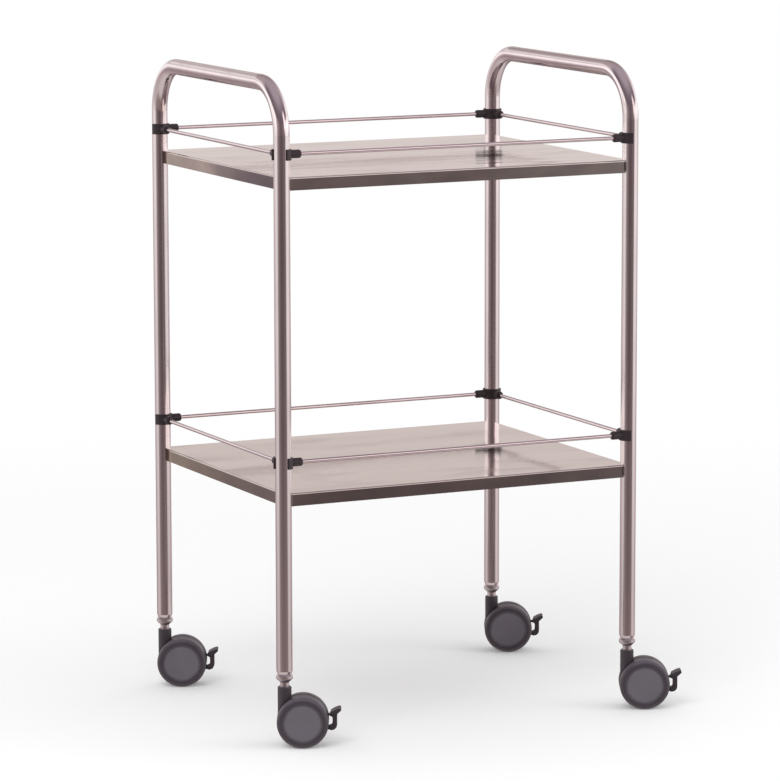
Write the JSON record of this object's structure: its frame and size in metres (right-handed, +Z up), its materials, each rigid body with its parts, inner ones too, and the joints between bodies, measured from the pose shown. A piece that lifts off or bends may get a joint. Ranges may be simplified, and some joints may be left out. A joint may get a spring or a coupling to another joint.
{
  "type": "medical trolley",
  "caption": "Stainless steel ward trolley with two railed trays, a push handle at each end and braked twin-wheel swivel castors.",
  "frame": {"origin": "on the floor, midway between the four legs", "axes": "+Z up, +X along the trays from the left side frame to the right one, +Y from front to back"},
  "size_m": [0.7028, 0.5516, 1.03],
  "materials": {
    "stainless_tube": "polished stainless tube",
    "stainless_sheet": "satin stainless sheet",
    "stainless_rod": "polished stainless rod",
    "weld_metal": "dressed weld",
    "turned_steel": "bright turned steel",
    "clip_plastic": "black moulded nylon",
    "castor_plastic": "black moulded nylon",
    "wheel_plastic": "dark grey moulded wheel, slightly glossy",
    "cap_plastic": "dark grey satin cap",
    "pedal_plastic": "black moulded nylon"
  },
  "bodies": {
    "frame": {"side_frame_left": "stainless_tube", "side_frame_right": "stainless_tube", "upper_shelf": "stainless_sheet", "upper_shelf_stiffener": "stainless_sheet", "upper_front_rail": "stainless_rod", "upper_back_rail": "stainless_rod", "upper_left_rail": "stainless_rod", "upper_right_rail": "stainless_rod", "upper_clip_front_left": "clip_plastic", "upper_clip_front_right": "clip_plastic", "upper_clip_back_left": "clip_plastic", "upper_clip_back_right": "clip_plastic", "lower_shelf": "stainless_sheet", "lower_shelf_stiffener": "stainless_sheet", "lower_front_rail": "stainless_rod", "lower_back_rail": "stainless_rod", "lower_left_rail": "stainless_rod", "lower_right_rail": "stainless_rod", "lower_clip_front_left": "clip_plastic", "lower_clip_front_right": "clip_plastic", "lower_clip_back_left": "clip_plastic", "lower_clip_back_right": "clip_plastic", "shelf_welds": "weld_metal", "castor_washers": "turned_steel", "castor_front_left_stem": "turned_steel", "castor_front_right_stem": "turned_steel", "castor_back_left_stem": "turned_steel", "castor_back_right_stem": "turned_steel"},
    "fork_front_left": {"castor_front_left_housing": "castor_plastic", "castor_front_left_axle": "turned_steel", "castor_front_left_brake_pin": "turned_steel"},
    "near_wheel_front_left": {"castor_front_left_wheel_near": "wheel_plastic", "castor_front_left_cap_near": "cap_plastic"},
    "far_wheel_front_left": {"castor_front_left_wheel_far": "wheel_plastic", "castor_front_left_cap_far": "cap_plastic"},
    "pedal_front_left": {"castor_front_left_brake_pedal": "pedal_plastic"},
    "fork_front_right": {"castor_front_right_housing": "castor_plastic", "castor_front_right_axle": "turned_steel", "castor_front_right_brake_pin": "turned_steel"},
    "near_wheel_front_right": {"castor_front_right_wheel_near": "wheel_plastic", "castor_front_right_cap_near": "cap_plastic"},
    "far_wheel_front_right": {"castor_front_right_wheel_far": "wheel_plastic", "castor_front_right_cap_far": "cap_plastic"},
    "pedal_front_right": {"castor_front_right_brake_pedal": "pedal_plastic"},
    "fork_back_left": {"castor_back_left_housing": "castor_plastic", "castor_back_left_axle": "turned_steel", "castor_back_left_brake_pin": "turned_steel"},
    "near_wheel_back_left": {"castor_back_left_wheel_near": "wheel_plastic", "castor_back_left_cap_near": "cap_plastic"},
    "far_wheel_back_left": {"castor_back_left_wheel_far": "wheel_plastic", "castor_back_left_cap_far": "cap_plastic"},
    "pedal_back_left": {"castor_back_left_brake_pedal": "pedal_plastic"},
    "fork_back_right": {"castor_back_right_housing": "castor_plastic", "castor_back_right_axle": "turned_steel", "castor_back_right_brake_pin": "turned_steel"},
    "near_wheel_back_right": {"castor_back_right_wheel_near": "wheel_plastic", "castor_back_right_cap_near": "cap_plastic"},
    "far_wheel_back_right": {"castor_back_right_wheel_far": "wheel_plastic", "castor_back_right_cap_far": "cap_plastic"},
    "pedal_back_right": {"castor_back_right_brake_pedal": "pedal_plastic"}
  },
  "joints": [
    {"name": "swivel_front_left", "type": "hinge", "parent": "frame", "child": "fork_front_left", "pos_m": [-0.3, -0.2375, 0.0936], "axis": [0, 0, 1], "continuous": true},
    {"name": "spin_near_front_left", "type": "hinge", "parent": "fork_front_left", "child": "near_wheel_front_left", "pos_m": [-0.27479, -0.24969, 0.04], "axis": [0.4352, 0.9003, 0], "continuous": true},
    {"name": "spin_far_front_left", "type": "hinge", "parent": "fork_front_left", "child": "far_wheel_front_left", "pos_m": [-0.27479, -0.24969, 0.04], "axis": [0.4352, 0.9003, 0], "continuous": true},
    {"name": "brake_front_left", "type": "hinge", "parent": "fork_front_left", "child": "pedal_front_left", "pos_m": [-0.25318, -0.26013, 0.029], "axis": [0.4352, 0.9003, 0], "range_deg": [0, 10]},
    {"name": "swivel_front_right", "type": "hinge", "parent": "frame", "child": "fork_front_right", "pos_m": [0.3, -0.2375, 0.0936], "axis": [0, 0, 1], "continuous": true},
    {"name": "spin_near_front_right", "type": "hinge", "parent": "fork_front_right", "child": "near_wheel_front_right", "pos_m": [0.32521, -0.24969, 0.04], "axis": [0.4352, 0.9003, 0], "continuous": true},
    {"name": "spin_far_front_right", "type": "hinge", "parent": "fork_front_right", "child": "far_wheel_front_right", "pos_m": [0.32521, -0.24969, 0.04], "axis": [0.4352, 0.9003, 0], "continuous": true},
    {"name": "brake_front_right", "type": "hinge", "parent": "fork_front_right", "child": "pedal_front_right", "pos_m": [0.34682, -0.26013, 0.029], "axis": [0.4352, 0.9003, 0], "range_deg": [0, 10]},
    {"name": "swivel_back_left", "type": "hinge", "parent": "frame", "child": "fork_back_left", "pos_m": [-0.3, 0.2375, 0.0936], "axis": [0, 0, 1], "continuous": true},
    {"name": "spin_near_back_left", "type": "hinge", "parent": "fork_back_left", "child": "near_wheel_back_left", "pos_m": [-0.27479, 0.22531, 0.04], "axis": [0.4352, 0.9003, 0], "continuous": true},
    {"name": "spin_far_back_left", "type": "hinge", "parent": "fork_back_left", "child": "far_wheel_back_left", "pos_m": [-0.27479, 0.22531, 0.04], "axis": [0.4352, 0.9003, 0], "continuous": true},
    {"name": "brake_back_left", "type": "hinge", "parent": "fork_back_left", "child": "pedal_back_left", "pos_m": [-0.25318, 0.21487, 0.029], "axis": [0.4352, 0.9003, 0], "range_deg": [0, 10]},
    {"name": "swivel_back_right", "type": "hinge", "parent": "frame", "child": "fork_back_right", "pos_m": [0.3, 0.2375, 0.0936], "axis": [0, 0, 1], "continuous": true},
    {"name": "spin_near_back_right", "type": "hinge", "parent": "fork_back_right", "child": "near_wheel_back_right", "pos_m": [0.32521, 0.22531, 0.04], "axis": [0.4352, 0.9003, 0], "continuous": true},
    {"name": "spin_far_back_right", "type": "hinge", "parent": "fork_back_right", "child": "far_wheel_back_right", "pos_m": [0.32521, 0.22531, 0.04], "axis": [0.4352, 0.9003, 0], "continuous": true},
    {"name": "brake_back_right", "type": "hinge", "parent": "fork_back_right", "child": "pedal_back_right", "pos_m": [0.34682, 0.21487, 0.029], "axis": [0.4352, 0.9003, 0], "range_deg": [0, 10]}
  ]
}
